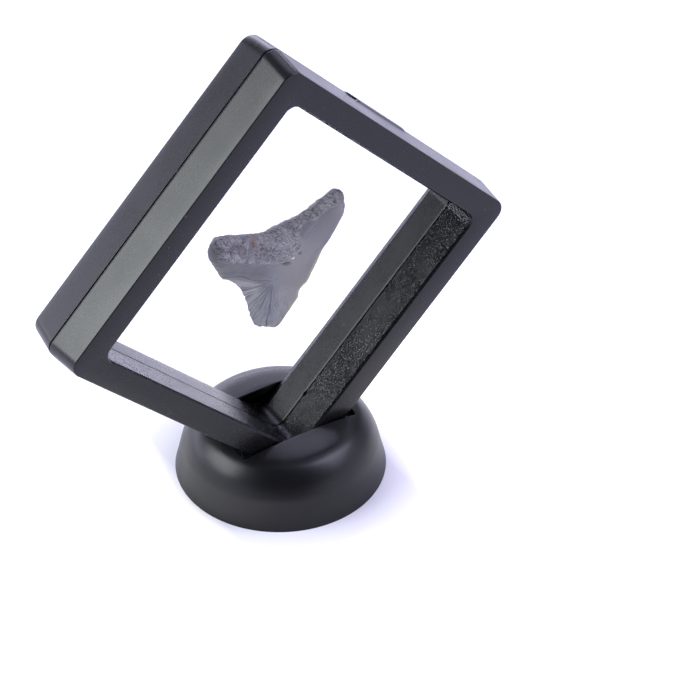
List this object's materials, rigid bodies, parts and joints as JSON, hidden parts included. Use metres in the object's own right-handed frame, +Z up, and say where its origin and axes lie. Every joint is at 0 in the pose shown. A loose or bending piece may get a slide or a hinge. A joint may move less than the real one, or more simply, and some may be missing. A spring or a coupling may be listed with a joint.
{
  "type": "fossil megalodon tooth in a floating display frame",
  "caption": "Fossil megalodon tooth floating between clear stretched films in a square dark plastic frame that stands on its corner in a hollow round base.",
  "frame": {"origin": "on the surface that the stand rests on, under the middle of the frame", "axes": "+Z up, -Y towards the front of the frame and the tooth's shown face, +X to the viewer's right"},
  "size_m": [0.1244, 0.055, 0.1262],
  "materials": {
    "stand": "matte moulded",
    "frame": "fine moulded texture",
    "film": "clear and smooth",
    "tooth": "rough root, satin enamel"
  },
  "bodies": {
    "root": {"stand": "stand", "frame_front": "frame", "frame_back": "frame", "film_front": "film", "film_back": "film", "tooth": "tooth"}
  },
  "joints": []
}
